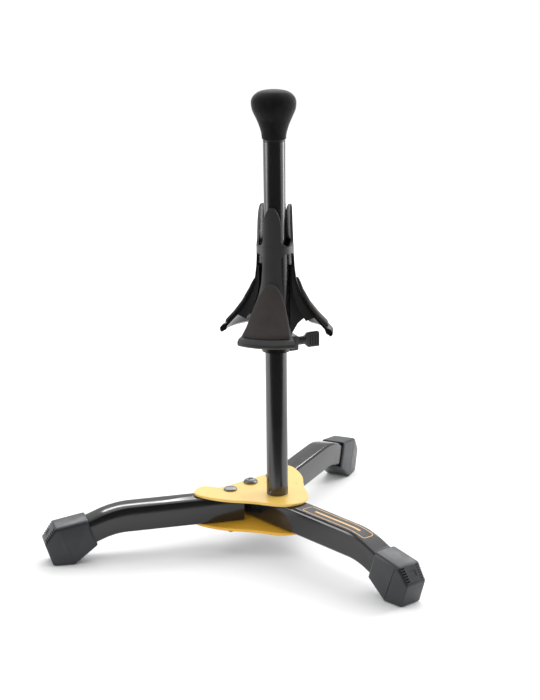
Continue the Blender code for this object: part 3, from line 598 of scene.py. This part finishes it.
def rubber_foot(name, leg):
    """A rubber boot: broad round shoulders along its sleeve, a creased, tapering end and grip ribs."""
    pivot, heading, reach = LEGS[leg]
    weights = {"along": {0: 1.0, 1: 0.5, 2: 0.32, 3: 0.5, 4: 0.75, 5: 0.9, 6: 1.0},
               "across": {0: 0.3, 1: 0.3, 2: 0.3, 3: 0.45, 4: 0.6, 5: 0.3}}
    base = loose("foot_base", foot_body(weights))
    bevel = base.modifiers.new("edges", "BEVEL")
    bevel.width = 3.0 * MM
    bevel.segments = 5
    bevel.limit_method = "WEIGHT"
    bm = carved(base, loose("foot_cutters", foot_cutters()))
    place = POST + Vector((pivot.x, pivot.y, 0.0))
    ahead = Vector((math.cos(heading), math.sin(heading), 0.0)) * reach
    bm.transform(Matrix.Translation(place + ahead) @ Matrix.Rotation(heading, 4, "Z"))
    obj = piece(name, bm, RUBBER, LEG_BODY[leg], f"foot_{leg}")
    smooth_by_angle(obj)


def grip_profile():
    """The ribbed shank's radii along the screw's axis."""
    line = [(2.9, GRIP_START / MM)]
    for i in range(6):
        start = GRIP_START / MM + 0.2 + 1.25 * i
        line += [(3.1, start), (3.5, start + 0.25), (3.5, start + 0.8), (3.1, start + 1.05)]
    return line


def thumb_grip():
    """The thumb screw's grip: a flat grooved paddle on a ribbed shank."""
    inner, outer, half = 26.0 * MM, GRIP_END, 6.2 * MM
    chamfer = 2.2 * MM
    outline = [(inner - 1.4 * MM, -3.4 * MM), (inner, -3.6 * MM), (inner + chamfer, -half), (outer, -half),
               (outer, half), (inner + chamfer, half), (inner, 3.6 * MM), (inner - 1.4 * MM, 3.4 * MM)]
    bm = bmesh.new()
    faces = [[bm.verts.new((x, side * 2.3 * MM, z)) for x, z in outline] for side in (-1, 1)]
    bm.faces.new(faces[0])
    bm.faces.new(faces[1])
    for i in range(len(outline)):
        j = (i + 1) % len(outline)
        bm.faces.new((faces[0][i], faces[0][j], faces[1][j], faces[1][i]))
    base = loose("grip_base", bm)
    bevel = base.modifiers.new("edges", "BEVEL")
    bevel.width = 0.7 * MM
    bevel.segments = 3
    bevel.limit_method = "ANGLE"
    bevel.angle_limit = math.radians(30)
    cuts = bmesh.new()
    for i in range(4):
        for side in (-1, 1):
            add_block(cuts, (1.0 * MM, 2.4 * MM, 1.5 * half),
                      Vector((outer - (1.9 + 2.2 * i) * MM, side * 2.5 * MM, 0.0)))
    bm = carved(base, loose("grip_cutters", cuts))
    for (r1, x1), (r2, x2) in zip(grip_profile(), grip_profile()[1:]):
        rings = [[bm.verts.new((x * MM, r * MM * math.cos(math.tau * k / GRIP_STEPS),
                                r * MM * math.sin(math.tau * k / GRIP_STEPS)))
                  for k in range(GRIP_STEPS)] for r, x in ((r1, x1), (r2, x2))]
        for k in range(GRIP_STEPS):
            j = (k + 1) % GRIP_STEPS
            bm.faces.new((rings[0][k], rings[0][j], rings[1][j], rings[1][k]))
    bmesh.ops.remove_doubles(bm, verts=bm.verts, dist=0.000001)
    bm.transform(Matrix.Translation(POST + Vector((0, 0, SCREW_Z))) @ Matrix.Rotation(SCREW_HEADING, 4, "Z"))
    obj = piece("ribbed_thumb_grip", bm, GRIP, "thumb_screw", "thumb_screw_grip")
    smooth_by_angle(obj)


def on_front_leg(distance, side, lift):
    """A point on the front leg's top face, following its bend."""
    pivot, heading, reach = LEGS["front"]
    bend = reach - BEND_BACK
    past = distance - bend
    top = LEG_HEIGHT / 2 + lift
    if past <= 0:
        x, z = distance, LEG_Z + top
    else:
        slope = min(past / (BEND_RADIUS + LEG_HEIGHT / 2), BEND_ANGLE)
        top -= LEG_HEIGHT / 2 * (1 - LEG_SQUEEZE) * slope / BEND_ANGLE
        rest = past - slope * (BEND_RADIUS + LEG_HEIGHT / 2)
        x = bend + (BEND_RADIUS + top) * math.sin(slope) + rest * math.cos(slope)
        z = LEG_Z - BEND_RADIUS + (BEND_RADIUS + top) * math.cos(slope) - rest * math.sin(slope)
    way = Vector((math.cos(heading), math.sin(heading), 0.0))
    left = Vector((-math.sin(heading), math.cos(heading), 0.0))
    return POST + Vector((pivot.x, pivot.y, 0.0)) + way * x + left * side + Vector((0.0, 0.0, z))


def rounded_outline(start, end, half, corner):
    """A rounded rectangle as (distance, side) points, close enough together to follow the leg's bend."""
    corners = [(end - corner, half - corner), (start + corner, half - corner),
               (start + corner, corner - half), (end - corner, corner - half)]
    points = []
    for i, (x, y) in enumerate(corners):
        for k in range(9):
            turn = math.pi / 2 * (i + k / 8)
            points.append((x + corner * math.cos(turn), y + corner * math.sin(turn)))
        if i % 2 == 0:
            far = corners[i + 1][0]
            y_side = y + corner * (1 if i == 0 else -1)
            points += [(x + (far - x) * k / 24, y_side) for k in range(1, 24)]
    return points


def printed_band(bm, outer, inner, lift):
    """A flat band between two matching outlines on the front leg."""
    loops = [[bm.verts.new(on_front_leg(d, w, lift)) for d, w in line] for line in (outer, inner)]
    for i in range(len(outer)):
        j = (i + 1) % len(outer)
        bm.faces.new((loops[0][i], loops[0][j], loops[1][j], loops[1][i]))


def printed_strip(bm, start, end, half, lift):
    """A flat strip along the front leg's top."""
    rows = [[bm.verts.new(on_front_leg(start + (end - start) * i / 48, side * half, lift))
             for side in (-1, 1)] for i in range(49)]
    for a, b in zip(rows, rows[1:]):
        bm.faces.new((a[0], a[1], b[1], b[0]))


def label():
    """A generic label on the front leg: a matte panel, a gold outline and a plain bar, no lettering."""
    bm = bmesh.new()
    printed_strip(bm, *LABEL_PANEL, PANEL_LIFT)
    piece("label_panel", bm, PANEL, "stand")
    bm = bmesh.new()
    outer = rounded_outline(73 * MM, 149 * MM, 5.9 * MM, 3.0 * MM)
    inner = rounded_outline(73.7 * MM, 148.3 * MM, 5.2 * MM, 2.3 * MM)
    printed_band(bm, outer, inner, INK_LIFT)
    printed_strip(bm, *LABEL_BAR, INK_LIFT)
    piece("label_outline", bm, INK, "stand")


for leg in LEGS:
    rubber_foot(f"rubber_foot_{leg}", leg)
thumb_grip()
label()

# ---------------------------------------------------------------- studio


def build_stage():
    bm = bmesh.new()
    bmesh.ops.create_grid(bm, x_segments=1, y_segments=1, size=30.0)
    mesh = bpy.data.meshes.new("floor")
    bm.to_mesh(mesh)
    bm.free()
    n = Nodes("white_floor").set(Roughness=1.0, Specular_IOR_Level=0.0)
    n.colour(n.ramp(n.noise(2, 2), [(0.3, (0.93, 0.93, 0.93)), (0.7, (0.94, 0.94, 0.94))]))
    mesh.materials.append(n.mat)
    floor = bpy.data.objects.new("floor", mesh)
    floor.location.z = -0.0004
    bpy.context.scene.collection.objects.link(floor)


def build_flag():
    """A dark card on the photographer's side that shows only in reflections."""
    bm = bmesh.new()
    rows = []
    for i in range(9):
        t = i / 8
        y, z = -0.19 - 1.11 * t, 1.5 * t ** 1.6
        rows.append([bm.verts.new((x, y, z)) for x in (-1.1, 0.95)])
    for a, b in zip(rows, rows[1:]):
        bm.faces.new((a[0], a[1], b[1], b[0]))
    mesh = bpy.data.meshes.new("flag")
    bm.to_mesh(mesh)
    bm.free()
    n = Nodes("dark_card").set(Roughness=1.0, Specular_IOR_Level=0.0)
    n.colour(n.ramp(n.noise(4, 2), [(0.3, (0.01, 0.01, 0.01)), (0.7, (0.014, 0.014, 0.014))]))
    mesh.materials.append(n.mat)
    card = bpy.data.objects.new("flag", mesh)
    bpy.context.scene.collection.objects.link(card)
    card.visible_camera = card.visible_diffuse = card.visible_shadow = False


def stop_yellow_cast():
    """The plates throw no diffuse light on other pieces, which would tint them yellow."""
    for plate in ("top_plate", "bottom_plate"):
        NODES[plate].visible_diffuse = False


def area(name, place, target, size, power):
    light = bpy.data.lights.new(name, "AREA")
    light.shape = "RECTANGLE"
    light.size, light.size_y = size
    light.energy = power
    obj = bpy.data.objects.new(name, light)
    obj.location = place
    obj.rotation_mode = "QUATERNION"
    obj.rotation_quaternion = (Vector(target) - Vector(place)).to_track_quat("-Z", "Y")
    bpy.context.scene.collection.objects.link(obj)


def build_lights():
    world = bpy.data.worlds.new("studio")
    world.use_nodes = True
    world.node_tree.nodes["Background"].inputs["Color"].default_value = (1.0, 1.0, 1.0, 1.0)
    world.node_tree.nodes["Background"].inputs["Strength"].default_value = 0.62
    bpy.context.scene.world = world
    sun = bpy.data.lights.new("sky_panel", "SUN")
    sun.energy = 1.55
    sun.angle = math.radians(70)
    panel = bpy.data.objects.new("sky_panel", sun)
    panel.rotation_euler = (math.radians(-18), math.radians(14), 0.0)
    bpy.context.scene.collection.objects.link(panel)
    area("right_box", (1.2, 0.35, 0.5), (0.0, 0.0, 0.15), (0.35, 1.1), 9)
    area("left_box", (-1.3, 0.1, 0.55), (0.0, 0.0, 0.15), (0.3, 1.1), 6)
    area("back_strip", (0.1, 1.5, 0.95), (0.0, 0.0, 0.05), (1.6, 0.16), 9)


def build_camera():
    """The camera stands a little left of the post, above the object, looking down at it."""
    yaw, pitch, roll = math.radians(2.80), math.radians(16.09), math.radians(-0.61)
    forward = Vector((math.sin(yaw) * math.cos(pitch), math.cos(yaw) * math.cos(pitch), -math.sin(pitch)))
    right = Vector((math.cos(yaw), -math.sin(yaw), 0.0))
    up = right.cross(forward)
    across = right * math.cos(roll) + up * math.sin(roll)
    upward = up * math.cos(roll) - right * math.sin(roll)
    camera = bpy.data.objects.new("camera", bpy.data.cameras.new("camera"))
    camera.data.sensor_fit = "AUTO"
    camera.data.sensor_width = 36.0
    camera.data.lens = 93.15
    camera.data.clip_start, camera.data.clip_end = 0.05, 100.0
    place = POST + Vector((-75.06, -1432.44, 586.79)) * MM
    camera.matrix_world = Matrix.Translation(place) @ Matrix((across, upward, -forward)).transposed().to_4x4()
    bpy.context.scene.collection.objects.link(camera)
    bpy.context.scene.camera = camera


build_stage()
build_flag()
stop_yellow_cast()
build_lights()
build_camera()
bpy.context.scene.view_settings.view_transform = "Standard"
